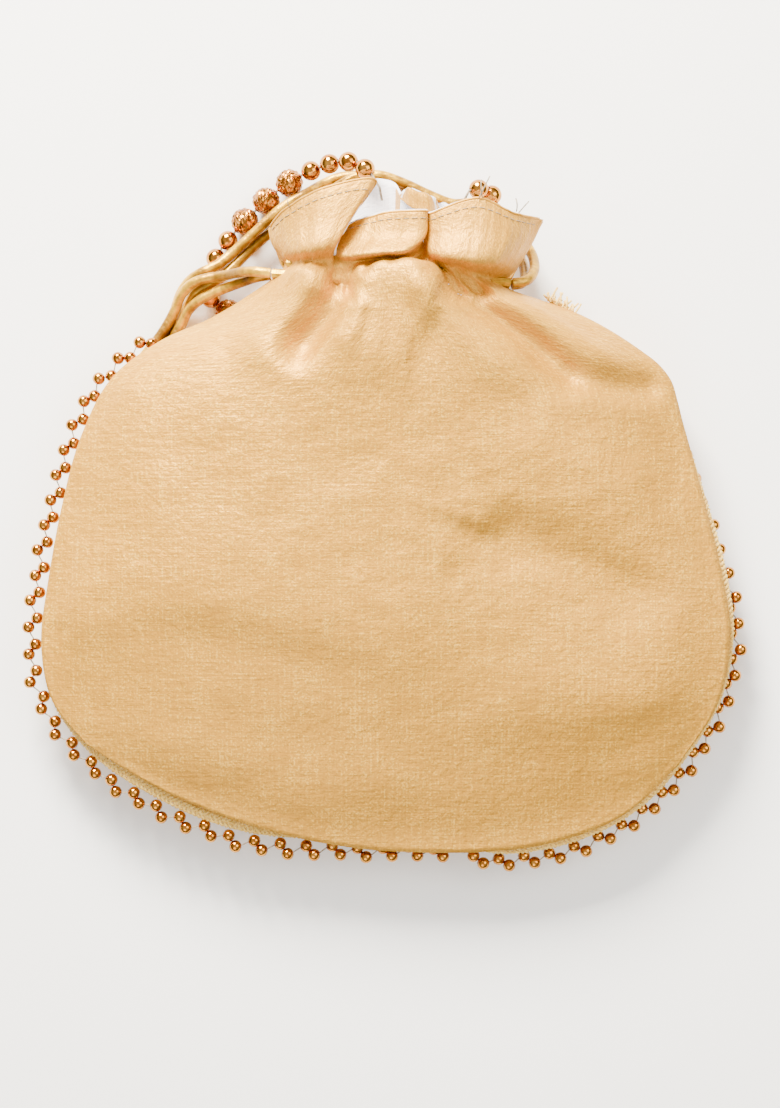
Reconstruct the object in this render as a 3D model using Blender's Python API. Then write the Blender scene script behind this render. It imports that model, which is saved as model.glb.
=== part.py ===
"""Potli: a round drawstring pouch of gold dupion silk, lying on its front panel.

Two U-shaped silk panels and two lining panels are sewn together round the U. A braid with a
fringe of small beads follows that seam. Two satin drawstrings run round the neck between silk
and lining, one leaving at each side. A strung bead handle is sewn inside the mouth.

Axes: +X across the bag, +Y from its bottom to its mouth, +Z up through the back panel.
Lengths are written in millimetres and turned to metres by mm().
"""
import math

import bpy
from mathutils import Vector
from mathutils.bvhtree import BVHTree

# ---- driving dimensions, mm ------------------------------------------------------------------
ORIGIN = (-1.33, -0.41, 0)   # middle of the base of the pouch, without its cords and handle
SILK = 0.7                  # silk with its stiffening
LINING = 0.5
GAP = 0.3                   # clearance kept between touching pieces
CORD = 3.3                  # satin drawstring
THREAD = 0.8                # handle thread
THREAD_BORE = 1.5
EDGE_BEAD = 4.0
SMALL_BEAD = 6.4
LARGE_BEAD = 9.0
BEAD_PITCH = 8.0            # from one pair of edge beads to the next
NECK_Y, NECK_SLOPE = 78.6, -0.09
NECK_BAND = 4.6             # half the height of the casing
SEAM_Z, NECK_Z = 18.0, 24.0
NECK_THICK = 11.0           # half the thickness of the drawn neck
SLIT = 4.8                  # half the opening in the side seam where the cords leave
COLUMNS, BODY_ROWS, COLLAR_ROWS = 23, 13, 5

# the sewn edge, from the neck's left side round the bottom to its right side
LEFT_EDGE = [(-34, 78), (-43, 73), (-55, 66), (-71, 59), (-87, 47), (-97, 28), (-102.5, 8),
             (-107, -16), (-109.5, -38), (-106, -56), (-95, -70)]
BOTTOM_EDGE = [(-95, -70), (-74, -83), (-50, -93.5), (-17, -102), (9, -104.5), (42, -103.5),
               (66, -98), (82, -89), (94, -77)]
RIGHT_EDGE = [(94, -77), (107, -57), (111, -35), (108, -14), (101, 14), (95.5, 34), (91, 48),
              (79, 58), (63, 67), (49, 72), (39, 74.5)]
NEAR_RIM = [(-37, 95), (-21, 103), (-3, 104), (8, 100), (16, 99), (29, 102), (41, 99), (51, 96)]
FAR_RIM = [(-37, 95), (-28, 101), (-17.5, 107), (-7, 110.4), (0, 111.2), (11, 106.4), (26, 101),
           (40, 98), (51, 96)]

# half thickness above and below the seam, from the bottom of the body to the neck
BACK_RISE = [(0, 0.8), (0.04, 2.4), (0.1, 6.6), (0.2, 13), (0.38, 20), (0.58, 23.5), (0.75, 23), (0.88, 18.5),
             (0.95, 14), (1, NECK_THICK)]
FRONT_DROP = [(0, 0.8), (0.04, 2.4), (0.1, 7.4), (0.2, 17), (0.38, 27), (0.58, 30), (0.75, 27), (0.88, 18),
              (0.95, 13), (1, NECK_THICK)]

# how far the beaded edging stands out past the sewn edge, along its length
EDGING_OUT = [(0, -2), (0.12, -1), (0.2, 0), (0.3, 0.4), (0.36, 3), (0.42, 2.6), (0.47, -1.5), (0.53, -3),
              (0.56, 1.5), (0.62, 2.2), (0.7, 1.2), (0.8, 0.4), (0.88, -1.5), (1, -4)]
EDGING_START, EDGING_JOIN, EDGING_END = 0.07, 0.535, 0.91
BEAD_TUCK = [(0, 0), (0.66, 0), (0.72, 4), (0.8, 5.4), (1, 6)]      # how far beads draw in under the braid

# routes of the free cords, from the side slit to the knot
LEFT_CORD_UPPER = [(-37.1, 80, 26.2), (-40, 80.5, 26), (-44.5, 80.8, 22.8), (-49, 80.4, 17.8), (-53.3, 80, 14.4),
                   (-57.6, 79.4, 13.4), (-61.8, 77.8, 12.2), (-65.2, 74.6, 9.4), (-67.6, 69.8, 6.3),
                   (-70.2, 65, 5.8), (-73, 60.8, 5.7), (-76.4, 56.6, 5.3), (-80, 52, 4), (-83.4, 47, 2.4),
                   (-86.4, 40.6, 2), (-89.2, 31.8, 2), (-91.7, 22.6, 2), (-94, 10.4, 2), (-96.4, -5.8, 2),
                   (-97.8, -22, 2), (-98.1, -38.4, 2), (-96.4, -48.2, 2.3)]
LEFT_CORD_LOWER = [(-37.1, 79.8, 21.8), (-40, 79.3, 21.2), (-44.5, 78.2, 17.6), (-50, 76.6, 14), (-55.5, 74.6, 12),
                   (-60, 72.2, 10.8), (-63, 69.6, 8.4), (-65.2, 65.8, 6.4), (-67.6, 61.6, 5.8), (-69.6, 58, 5.8),
                   (-72.6, 53.8, 5.8), (-76.4, 49.6, 5.6), (-79.9, 44.8, 3.4), (-82.6, 38.6, 2), (-85.4, 30.6, 2),
                   (-87.9, 21.6, 2), (-90.2, 9.8, 2), (-92.5, -6, 2), (-93.9, -22, 2), (-94.2, -38, 2), (-92.9, -47.8, 2.3)]
RIGHT_CORD_UPPER = [(42.1, 76.8, 26.2), (45.2, 77.6, 25.4), (48, 81, 20.5), (48, 86.5, 13.5), (45, 92.5, 8.4),
                    (40.4, 99.4, 3.4), (33.4, 103.6, 2.4), (28.6, 104.8, 4.2), (22.6, 104.4, 5.7), (14.5, 107.4, 5.7),
                    (7, 110.9, 5.7), (-1, 113.6, 5.7), (-8, 113.3, 5.9), (-14, 110.4, 6.2), (-20.8, 105.6, 6.4),
                    (-29.6, 100.6, 6.4), (-36.4, 95.2, 6.4), (-43, 89.4, 6.6), (-48.6, 83.8, 7.2),
                    (-52.4, 80.2, 8.4), (-56.6, 78, 9.4), (-60.6, 75.6, 8.4), (-63.2, 71.8, 5),
                    (-65, 67, 2.2), (-67.2, 62, 2), (-69.4, 57, 2), (-71, 51.4, 2.1)]
RIGHT_CORD_LOWER = [(42.1, 76.6, 21.8), (44.4, 77.4, 20.6), (45.4, 81, 14.5), (44.4, 86.2, 8), (41, 92, 3.4),
                    (36.2, 96.8, 2), (30, 99.9, 2), (22.5, 103.4, 2), (14.5, 107.1, 2), (7, 110.6, 2),
                    (-1, 113.5, 2), (-8, 114, 2), (-14.4, 113.4, 2), (-20, 110.9, 3.2), (-25.2, 107.2, 8.8),
                    (-32, 103.2, 9.6), (-38.5, 97.6, 9.2), (-45.2, 91.4, 8.6), (-50.4, 86.8, 8.4),
                    (-54.2, 83.9, 9.2), (-58.6, 81.9, 9.3), (-62.8, 79.4, 6.4), (-66, 75.4, 3), (-67.8, 70.4, 2.1),
                    (-69.6, 65.6, 2), (-72, 60.6, 2), (-74, 55, 2), (-74.8, 51, 2.1)]
LEFT_KNOT = (-94.2, -53.4, 3.5)
RIGHT_KNOT = (-73, 45.6, 3.5)

# the handle, from its stitch in the mouth over the left shoulder and back under the neck
HANDLE_LEAD = 9.4
BEAD_GAP = 0.55
HANDLE_ROUTE = [(-0.5, 104.5, 15), (-1.2, 108.2, 17.6), (-4, 112.6, 18), (-9.1, 117.1, 14.6), (-15.2, 117.4, 11.6),
                (-21, 115.8, 8.6), (-28.6, 112.6, 5.6), (-36.6, 107, 4.8), (-43.9, 99.8, 4.8), (-50, 93.4, 4),
                (-54.6, 87, 3.6), (-57.2, 80.5, 3.6), (-57, 74.4, 4.8), (-52.4, 69, 4.8), (-43, 67.4, 4.8),
                (-30, 69.4, 4.7), (-16, 72.6, 4.7), (-2, 75.8, 4.7), (12, 79.6, 4.6), (22.5, 84, 4.6), (29.4, 90.2, 5.6),
                (34, 96.8, 7.6), (36, 102.6, 10.4), (35.2, 107, 15), (31, 108.4, 19), (26.2, 106, 20.4), (24.4, 101.5, 18)]
HANDLE_GROUPS = ["small"] * 4 + (["large"] * 3 + ["small"] * 4) * 3 + ["small"]


def mm(point):
    return (Vector(point) - Vector(ORIGIN)) * 0.001


def smooth_table(table, x):
    """Cubic reading of (x, value) pairs, with slopes from the neighbours."""
    count = len(table)
    k = 0
    while k < count - 2 and x > table[k + 1][0]:
        k += 1
    x0, a = table[k]
    x1, b = table[k + 1]
    before = table[max(k - 1, 0)]
    after = table[min(k + 2, count - 1)]
    slope_a = (b - before[1]) / (x1 - before[0])
    slope_b = (after[1] - a) / (after[0] - x0)
    w = x1 - x0
    f = (x - x0) / w
    return (a * (1 + 2 * f) * (1 - f) ** 2 + slope_a * w * f * (1 - f) ** 2
            + b * f * f * (3 - 2 * f) - slope_b * w * f * f * (1 - f))


def spline(points, per_span=12):
    """Dense points on a centripetal Catmull-Rom curve through the given ones."""
    pts = [Vector(p).to_3d() for p in points]
    pts = [pts[0] * 2 - pts[1]] + pts + [pts[-1] * 2 - pts[-2]]
    dense = []
    for a, b, c, d in zip(pts, pts[1:], pts[2:], pts[3:]):
        t0 = 0.0
        t1 = t0 + (b - a).length ** 0.5
        t2 = t1 + (c - b).length ** 0.5
        t3 = t2 + (d - c).length ** 0.5
        for i in range(per_span):
            t = t1 + (t2 - t1) * i / per_span
            ab = a.lerp(b, (t - t0) / (t1 - t0))
            bc = b.lerp(c, (t - t1) / (t2 - t1))
            cd = c.lerp(d, (t - t2) / (t3 - t2))
            abc = ab.lerp(bc, (t - t0) / (t2 - t0))
            bcd = bc.lerp(cd, (t - t1) / (t3 - t1))
            dense.append(abc.lerp(bcd, (t - t1) / (t2 - t1)))
    dense.append(pts[-2])
    return dense


class Line:
    """A dense line of points read by the fraction of its length."""

    def __init__(self, points):
        self.points = spline(points)
        self.at = [0.0]
        for a, b in zip(self.points, self.points[1:]):
            self.at.append(self.at[-1] + (b - a).length)
        self.length = self.at[-1]

    def place(self, fraction):
        want = min(max(fraction, 0.0), 1.0) * self.length
        low, high = 0, len(self.at) - 1
        while high - low > 1:
            middle = (low + high) // 2
            if self.at[middle] <= want:
                low = middle
            else:
                high = middle
        span = self.at[high] - self.at[low]
        return self.points[low].lerp(self.points[high], (want - self.at[low]) / span)

    def ahead(self, fraction, step=0.002):
        return (self.place(fraction + step) - self.place(fraction - step)).normalized()


def material(name, colour, roughness, metallic=0.0):
    made = bpy.data.materials.new(name)
    made.use_nodes = True
    shader = made.node_tree.nodes["Principled BSDF"]
    shader.inputs["Base Color"].default_value = (*colour, 1)
    shader.inputs["Roughness"].default_value = roughness
    shader.inputs["Metallic"].default_value = metallic
    return made


def add_object(name, mesh, finish):
    placed = bpy.data.objects.new(name, mesh)
    bpy.context.scene.collection.objects.link(placed)
    placed.data.materials.append(finish)
    return placed


def mesh_object(name, verts, faces, finish):
    mesh = bpy.data.meshes.new(name)
    mesh.from_pydata([mm(v) for v in verts], [], faces)
    mesh.shade_smooth()
    mesh.set_sharp_from_angle(angle=math.radians(40))
    return add_object(name, mesh, finish)


# ---- the cloth's shape -----------------------------------------------------------------------
def inset_points(points, inward):
    """The edge moved inwards, square to its own direction."""
    moved = []
    for i, p in enumerate(points):
        a = Vector(points[max(i - 1, 0)])
        b = Vector(points[min(i + 1, len(points) - 1)])
        along = (b - a).normalized()
        moved.append(Vector((p[0] - along.y * inward, p[1] + along.x * inward)))
    return moved


def neck_y(x):
    return NECK_Y + NECK_SLOPE * x


def seam_height(v):
    rise = min(max((v - 0.55) / 0.45, 0), 1)
    return SEAM_Z + (NECK_Z - SEAM_Z) * rise * rise * (3 - 2 * rise)


def across(u):
    """The section over a panel: a flat sewn strip at each side, then a full crown."""
    crown = 1 - abs(u) ** 2.6
    strip = min((1 - abs(u)) / 0.14, 1)
    return crown * (0.4 + 0.6 * strip * strip * (3 - 2 * strip))


def neck_across(u):
    return (1 - abs(u) ** 3) ** 0.8


def panel_rows(side, inset=0.0, neck_inset=0.0, drop=0.0, neck_drop=0.0, edge=GAP / 2 + SILK, rim_cut=0.0):
    """Rows of points over one panel, bottom to rim. side is 1 for the back and -1 for the front."""
    whole = LEFT_EDGE + BOTTOM_EDGE[1:] + RIGHT_EDGE[1:]
    moved = inset_points(whole, inset) if inset else [Vector(p) for p in whole]
    corner_a = len(LEFT_EDGE) - 1
    corner_b = corner_a + len(BOTTOM_EDGE) - 1
    left = Line([p.to_3d() for p in reversed(moved[:corner_a + 1])])
    bottom = Line([p.to_3d() for p in moved[corner_a:corner_b + 1]])
    right = Line([p.to_3d() for p in moved[corner_b:]])
    neck_left = LEFT_EDGE[0][0] + neck_inset
    neck_right = RIGHT_EDGE[-1][0] - neck_inset
    rise = BACK_RISE if side > 0 else FRONT_DROP
    rows = []
    low_corner, high_corner = bottom.place(0), bottom.place(1)
    for r in range(BODY_ROWS + 1):
        v = r / BODY_ROWS
        row = []
        for c in range(COLUMNS):
            u = 2 * c / (COLUMNS - 1) - 1
            a = c / (COLUMNS - 1)
            neck_x = neck_left + (neck_right - neck_left) * a
            top = Vector((neck_x, neck_y(neck_x) - NECK_BAND, 0))
            start = Vector((neck_left, neck_y(neck_left) - NECK_BAND, 0))
            end = Vector((neck_right, neck_y(neck_right) - NECK_BAND, 0))
            side_a = left.place(v) + (start - left.place(1)) * v ** 6
            side_b = right.place(v) + (end - right.place(1)) * v ** 6
            p = (bottom.place(a) * (1 - v) + top * v + side_a * (1 - a) + side_b * a
                 - low_corner * (1 - v) * (1 - a) - high_corner * (1 - v) * a
                 - start * v * (1 - a) - end * v * a)
            near_neck = min(max((v - 0.8) / 0.2, 0), 1)
            lip = edge + (SLIT + SILK - edge) * near_neck ** 4 * (1 if neck_drop == 0 else 0)
            section = across(u) * (1 - near_neck) + neck_across(u) * near_neck
            half = smooth_table(rise, v) - drop - (neck_drop - drop) * near_neck
            z = seam_height(v) + side * (lip + max(half - lip, 0) * section)
            if side < 0:
                floor = drop
                soft = 4.0
                above = z - floor
                if above < soft:
                    z = floor + (0 if above < -soft else (above + soft) ** 2 / (4 * soft))
            row.append(Vector((p.x, p.y, z)))
        rows.append(row)
    rim = Line([Vector(p).to_3d() for p in (NEAR_RIM if side > 0 else FAR_RIM)])
    for r in range(1, COLLAR_ROWS + 2):
        band_row = r == 1
        w = max(r - 1, 0) / COLLAR_ROWS
        row = []
        for c in range(COLUMNS):
            u = 2 * c / (COLUMNS - 1) - 1
            a = c / (COLUMNS - 1)
            neck_x = neck_left + (neck_right - neck_left) * a
            low = Vector((neck_x, neck_y(neck_x) + NECK_BAND, 0))
            high = rim.place(a)
            shrink = 1 - inset * 0.45 / 44
            high.x = 7 + (high.x - 7) * shrink
            high.y -= rim_cut
            p = low.lerp(high, w)
            flare = math.sin(w * math.pi / 2)
            lip = (SLIT + SILK if neck_drop == 0 else edge) * (1 - w) ** 4 + edge * (1 - (1 - w) ** 4)
            half = (NECK_THICK - neck_drop) * (1 - flare) + (12.5 - drop) * flare
            ruffle = 1.6 * math.cos(5.5 * math.pi * u) * flare * (1 - u * u)
            z = NECK_Z + side * (lip + (half - lip) * neck_across(u) + ruffle)
            row.append(Vector((p.x, p.y, z)))
        if not band_row or w == 0:
            rows.append(row)
    return rows


def surface_normals(rows, side):
    """Outward normals of a grid of points."""
    normals = []
    for r, row in enumerate(rows):
        line = []
        for c in range(len(row)):
            du = row[min(c + 1, len(row) - 1)] - row[max(c - 1, 0)]
            dv = rows[min(r + 1, len(rows) - 1)][c] - rows[max(r - 1, 0)][c]
            line.append(du.cross(dv).normalized() * side)
        normals.append(line)
    return normals


def shell(name, rows, side, thickness, finish):
    """A cloth panel: the grid, its copy one thickness inside, and the four edges between them."""
    normals = surface_normals(rows, side)
    last_row, last_column = len(rows) - 1, len(rows[0]) - 1
    outer, inner = [], []
    for r, row in enumerate(rows):
        for c, p in enumerate(row):
            sewn = r == 0 or c in (0, last_column)
            inwards = Vector((0, 0, side)) if sewn else normals[r][c]
            outer.append(p)
            inner.append(p - inwards * thickness)
    columns = last_column + 1
    offset = len(outer)
    faces = []
    for r in range(last_row):
        for c in range(last_column):
            a, b = r * columns + c, r * columns + c + 1
            d, e = a + columns, b + columns
            faces += [(a, b, e), (a, e, d)]
            faces += [(offset + a, offset + e, offset + b), (offset + a, offset + d, offset + e)]
    ring = ([c for c in range(last_column)]
            + [r * columns + last_column for r in range(last_row)]
            + [last_row * columns + c for c in range(last_column, 0, -1)]
            + [r * columns for r in range(last_row, 0, -1)])
    for a, b in zip(ring, ring[1:] + ring[:1]):
        faces += [(a, offset + a, offset + b), (a, offset + b, b)]
    if side < 0:
        faces = [tuple(reversed(f)) for f in faces]
    return mesh_object(name, outer + inner, faces, finish)


# ---- the beaded edging -----------------------------------------------------------------------
SEAM_LINE = Line([Vector(p).to_3d() for p in LEFT_EDGE + BOTTOM_EDGE[1:] + RIGHT_EDGE[1:]])


def seam_place(fraction, out, below, under=None, room=0.0):
    """A place beside the sewn edge: out past it, below it, and clear of the panel above it."""
    p = SEAM_LINE.place(fraction)
    along = SEAM_LINE.ahead(fraction)
    height = SEAM_Z + (NECK_Z - SEAM_Z) * max(1 - 6 * min(fraction, 1 - fraction), 0) ** 2
    place = Vector((p.x + along.y * out, p.y - along.x * out, height - below))
    if under:
        for shift in (-room, 0, room):
            probe = Vector((place.x + along.y * shift, place.y - along.x * shift, -10))
            hit = under.ray_cast(probe, Vector((0, 0, 1)))[0]
            if hit:
                place.z = min(place.z, hit.z - room - GAP)
    return place


def front_surface():
    """The front panel's outer face, to hang the edging clear of it."""
    rows = panel_rows(-1)
    columns = len(rows[0])
    faces = [(r * columns + c, r * columns + c + 1, (r + 1) * columns + c + 1, (r + 1) * columns + c)
             for r in range(len(rows) - 1) for c in range(columns - 1)]
    return BVHTree.FromPolygons([p for row in rows for p in row], faces)


def braid(name, start, end, under, finish):
    """A flat braid 4 mm wide, sewn under the edge."""
    stations = max(int((end - start) * SEAM_LINE.length / 9), 2)
    section = [(1.9, 0.35), (1.9, -0.35), (0.9, -0.75), (-0.9, -0.75), (-1.9, -0.35), (-1.9, 0.35)]
    verts, faces = [], []
    for i in range(stations + 1):
        s = start + (end - start) * i / stations
        out = smooth_table(EDGING_OUT, s) - 1.9
        level = min(seam_place(s, out + width, 2.6, under, 0.75).z for width in (-1.9, 0, 1.9))
        for width, high in section:
            place = seam_place(s, out + width, 0)
            verts.append(Vector((place.x, place.y, level + high)))
    n = len(section)
    for i in range(stations):
        for k in range(n):
            a, b = i * n + k, i * n + (k + 1) % n
            faces.append((a, b, b + n, a + n))
    faces.append(tuple(reversed(range(n))))
    faces.append(tuple(range(stations * n, stations * n + n)))
    return mesh_object(name, verts, faces, finish)


def edge_beads(name, start, end, under, finish):
    """Pairs of small beads on one thread along the braid: one beside it and one a step out and on."""
    count = int((end - start) * SEAM_LINE.length / BEAD_PITCH)
    step = 3.0 / SEAM_LINE.length
    centres = []
    for i in range(count):
        s = start + (end - start) * (i + 0.5) / count
        out = smooth_table(EDGING_OUT, s)
        tuck = smooth_table(BEAD_TUCK, s)
        level = min(seam_place(s, out - width, 2.6, under, 0.75).z for width in (0, 1.9, 3.8))
        for at, far, below in ((s, 2.4, 3.2), (s + step, 4.95, 3.6)):
            centre = seam_place(at, out + far - tuck, below, under, EDGE_BEAD / 2)
            if tuck > 0.1:
                centre.z = min(centre.z, level - (EDGE_BEAD / 2 + 1.5) * min(tuck, 1))
            centres.append(centre)
    radius, sides = EDGE_BEAD / 2, 5
    barrel = [(-radius * 0.93, THREAD / 2), (0, radius), (radius * 0.93, THREAD / 2)]
    verts, faces = [], []
    for i, centre in enumerate(centres):
        before, after = centres[max(i - 1, 0)], centres[min(i + 1, len(centres) - 1)]
        axis = (after - before).normalized()
        flat = Vector((-axis.y, axis.x, 0)).normalized()
        high = axis.cross(flat)
        for along, r in barrel:
            for k in range(sides):
                angle = 2 * math.pi * k / sides
                verts.append(centre + axis * along + flat * r * math.cos(angle) + high * r * math.sin(angle))
    stations = len(verts) // sides
    for i in range(stations - 1):
        for k in range(sides):
            a, b = i * sides + k, i * sides + (k + 1) % sides
            faces.append((a, b, b + sides, a + sides))
    faces.append(tuple(reversed(range(sides))))
    faces.append(tuple(range(len(verts) - sides, len(verts))))
    return mesh_object(name, verts, faces, finish)


# ---- cords and strung beads ------------------------------------------------------------------
def cord_object(name, points, diameter, finish):
    data = bpy.data.curves.new(name, "CURVE")
    data.dimensions = "3D"
    data.bevel_depth = diameter * 0.0005
    data.bevel_resolution = 2
    data.render_resolution_u = 0
    data.use_fill_caps = True
    line = data.splines.new("POLY")
    line.points.add(len(points) - 1)
    for target, p in zip(line.points, points):
        target.co = (*mm(p), 1)
    return add_object(name, data, finish)


def even_points(line, step):
    count = max(int(line.length / step), 3)
    return [line.place(i / count) for i in range(count + 1)]


def free_cord(name, route, finish):
    return cord_object(name, even_points(Line(route), CORD * 3), CORD, finish)


def casing_cord(name, level, exit_side, finish):
    """The part of a drawstring inside the casing: right round the neck, open at its own side."""
    reach = NECK_THICK - SILK - GAP - CORD / 2 - 0.35
    half = (RIGHT_EDGE[-1][0] - LEFT_EDGE[0][0]) / 2
    middle = (RIGHT_EDGE[-1][0] + LEFT_EDGE[0][0]) / 2
    end_height = 2.1
    turn_in = half - 3.2
    upper = [(-half - 1, end_height), (-half + 2.5, end_height + 0.5)]
    for i in range(9):
        u = -0.8 + 1.6 * i / 8
        upper.append((u * half, reach * (1 - abs(u) ** 3) ** 0.75 + 0.2))
    turn = [(turn_in - 0.1, 3.0), (turn_in + 0.5, 0), (turn_in - 0.1, -3.0)]
    lower = [(x, -z) for x, z in reversed(upper)]
    route = [(middle - exit_side * x, neck_y(middle - exit_side * x) + level, NECK_Z + z)
             for x, z in ((-a, b) for a, b in upper + turn + lower)]
    return cord_object(name, even_points(Line(route), CORD * 2.6), CORD, finish)


def bored_bead(name, centre, axis, diameter, finish):
    """A turned bead with a thread hole along its axis."""
    radius, bore, sides = diameter / 2, THREAD_BORE / 2, 8
    reach = (radius ** 2 - bore ** 2) ** 0.5
    profile = [(bore, -reach), (radius * 0.76, -radius * 0.65), (radius, 0),
               (radius * 0.76, radius * 0.65), (bore, reach)]
    turn = axis.to_track_quat("Z", "Y")
    verts, faces = [], []
    for k in range(sides):
        angle = 2 * math.pi * k / sides
        for r, z in profile:
            verts.append(centre + turn @ Vector((r * math.cos(angle), r * math.sin(angle), z)))
    n = len(profile)
    for k in range(sides):
        a, b = k * n, (k + 1) % sides * n
        for j in range(n):
            i = (j + 1) % n
            faces.append((a + j, b + j, b + i, a + i))
    return mesh_object(name, verts, faces, finish)


def handle(route, groups, thread_finish, bead_finishes):
    """Beads threaded in order along the route. The thread bends between beads, never in one."""
    line = Line(route)
    sizes = {"small": SMALL_BEAD, "large": LARGE_BEAD}
    at = HANDLE_LEAD / line.length
    thread = [line.place(0), line.place(at * 0.5), line.place(at)]
    counts = {"small": 0, "large": 0}
    for kind in groups:
        start = thread[-1]
        while (line.place(at) - start).length < sizes[kind] + BEAD_GAP and at < 1:
            at += 0.0002
        end = line.place(at)
        counts[kind] += 1
        bored_bead(f"handle_bead_{kind}_{counts[kind]:02d}", (start + end) / 2, (end - start).normalized(),
                   sizes[kind], bead_finishes[kind])
        thread.append(end)
    thread.append(line.place(1))
    cord_object("handle_thread", thread, THREAD, thread_finish)


def knot(name, centre, along, finish):
    """An overhand knot that ties both ends of a drawstring, as a plain rounded lump."""
    sides, rings = 10, 6
    turn = Vector(along).normalized().to_track_quat("Z", "Y")
    length, width = 8.0, 6.2
    verts = [Vector(centre) - turn @ Vector((0, 0, length / 2))]
    for j in range(1, rings):
        angle = math.pi * j / rings
        for k in range(sides):
            around = 2 * math.pi * k / sides
            verts.append(Vector(centre) + turn @ Vector((
                math.sin(angle) * math.cos(around) * width / 2,
                math.sin(angle) * math.sin(around) * width / 2,
                -math.cos(angle) * length / 2)))
    verts.append(Vector(centre) + turn @ Vector((0, 0, length / 2)))
    top = len(verts) - 1
    faces = []
    for k in range(sides):
        m = (k + 1) % sides
        faces.append((0, 1 + m, 1 + k))
        for j in range(rings - 2):
            a, b = 1 + j * sides + k, 1 + j * sides + m
            faces.append((a, b, b + sides, a + sides))
        last = 1 + (rings - 2) * sides
        faces.append((last + k, last + m, top))
    return mesh_object(name, verts, faces, finish)


def build():
    for old in list(bpy.data.objects):
        bpy.data.objects.remove(old)
    silk = material("gold_dupion_silk", (0.78, 0.55, 0.33), 0.5)
    lining = material("white_lining", (0.78, 0.78, 0.82), 0.7)
    braid_finish = material("cream_braid", (0.85, 0.66, 0.3), 0.6)
    satin = material("golden_satin_cord", (0.75, 0.47, 0.13), 0.4)
    thread_finish = material("grey_thread", (0.35, 0.3, 0.25), 0.7)
    gold = material("gold_bead", (0.72, 0.45, 0.18), 0.18, 1.0)
    rose = material("rose_gold_bead", (0.68, 0.36, 0.2), 0.22, 1.0)

    for name, side in (("back", 1), ("front", -1)):
        shell(f"{name}_panel", panel_rows(side), side, SILK, silk)
        rows = panel_rows(side, inset=4.0, neck_inset=7.0, drop=1.3, neck_drop=5.3,
                          edge=GAP / 2 + LINING, rim_cut=1.2)
        shell(f"{name}_lining", rows, side, LINING, lining)

    under = front_surface()
    braid("braid_left", EDGING_START, EDGING_JOIN - 0.002, under, braid_finish)
    braid("braid_right", EDGING_JOIN + 0.002, EDGING_END, under, braid_finish)
    edge_beads("edge_beads_left", EDGING_START, EDGING_JOIN - 0.006, under, gold)
    edge_beads("edge_beads_right", EDGING_JOIN + 0.006, EDGING_END, under, gold)

    casing_cord("drawstring_left_in_casing", -1.9, 1, satin)
    casing_cord("drawstring_right_in_casing", 1.9, -1, satin)
    free_cord("drawstring_left_upper_tail", LEFT_CORD_UPPER, satin)
    free_cord("drawstring_left_lower_tail", LEFT_CORD_LOWER, satin)
    free_cord("drawstring_right_upper_tail", RIGHT_CORD_UPPER, satin)
    free_cord("drawstring_right_lower_tail", RIGHT_CORD_LOWER, satin)
    knot("drawstring_left_knot", LEFT_KNOT, (0.1, -1, 0), satin)
    knot("drawstring_right_knot", RIGHT_KNOT, (-0.2, -1, 0), satin)
    handle(HANDLE_ROUTE, HANDLE_GROUPS, thread_finish, {"small": gold, "large": rose})


build()
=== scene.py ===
import math

import bmesh
import bpy
import numpy as np
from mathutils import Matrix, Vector, noise
from mathutils.bvhtree import BVHTree


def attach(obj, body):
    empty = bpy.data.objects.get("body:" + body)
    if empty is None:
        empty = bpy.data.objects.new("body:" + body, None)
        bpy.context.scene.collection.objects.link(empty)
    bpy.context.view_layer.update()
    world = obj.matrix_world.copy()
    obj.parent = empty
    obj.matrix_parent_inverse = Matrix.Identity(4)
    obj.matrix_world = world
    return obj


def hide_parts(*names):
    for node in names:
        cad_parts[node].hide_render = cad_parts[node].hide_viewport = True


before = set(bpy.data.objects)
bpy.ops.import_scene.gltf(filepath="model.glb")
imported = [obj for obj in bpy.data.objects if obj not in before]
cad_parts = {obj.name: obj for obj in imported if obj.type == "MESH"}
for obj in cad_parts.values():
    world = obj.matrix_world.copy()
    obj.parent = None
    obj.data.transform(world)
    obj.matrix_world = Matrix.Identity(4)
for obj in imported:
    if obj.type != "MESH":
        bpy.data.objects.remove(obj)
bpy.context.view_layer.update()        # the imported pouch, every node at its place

# ---- camera ----------------------------------------------------------------------------------
# The pouch lies on its front panel and is seen from straight above, mouth at the top.
ORIGIN = np.array((-1.33, -0.41, 0.0))     # the pouch's middle in the maker's own millimetres
VIEW_MIDDLE = (2.1, -9.1, 18.0)
VIEW_HEIGHT = 354.6
LENS, SENSOR = 100.0, 36.0


def metres(points):
    """Millimetres in the maker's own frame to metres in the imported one."""
    return (np.asarray(points, float) - ORIGIN) * 0.001


camera_data = bpy.data.cameras.new("camera")
camera_data.lens = LENS
camera_data.sensor_width = SENSOR
camera = bpy.data.objects.new("camera", camera_data)
bpy.context.scene.collection.objects.link(camera)
camera.location = Vector(metres(VIEW_MIDDLE)) + Vector((0, 0, VIEW_HEIGHT * LENS / SENSOR * 0.001))
bpy.context.scene.camera = camera

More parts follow.
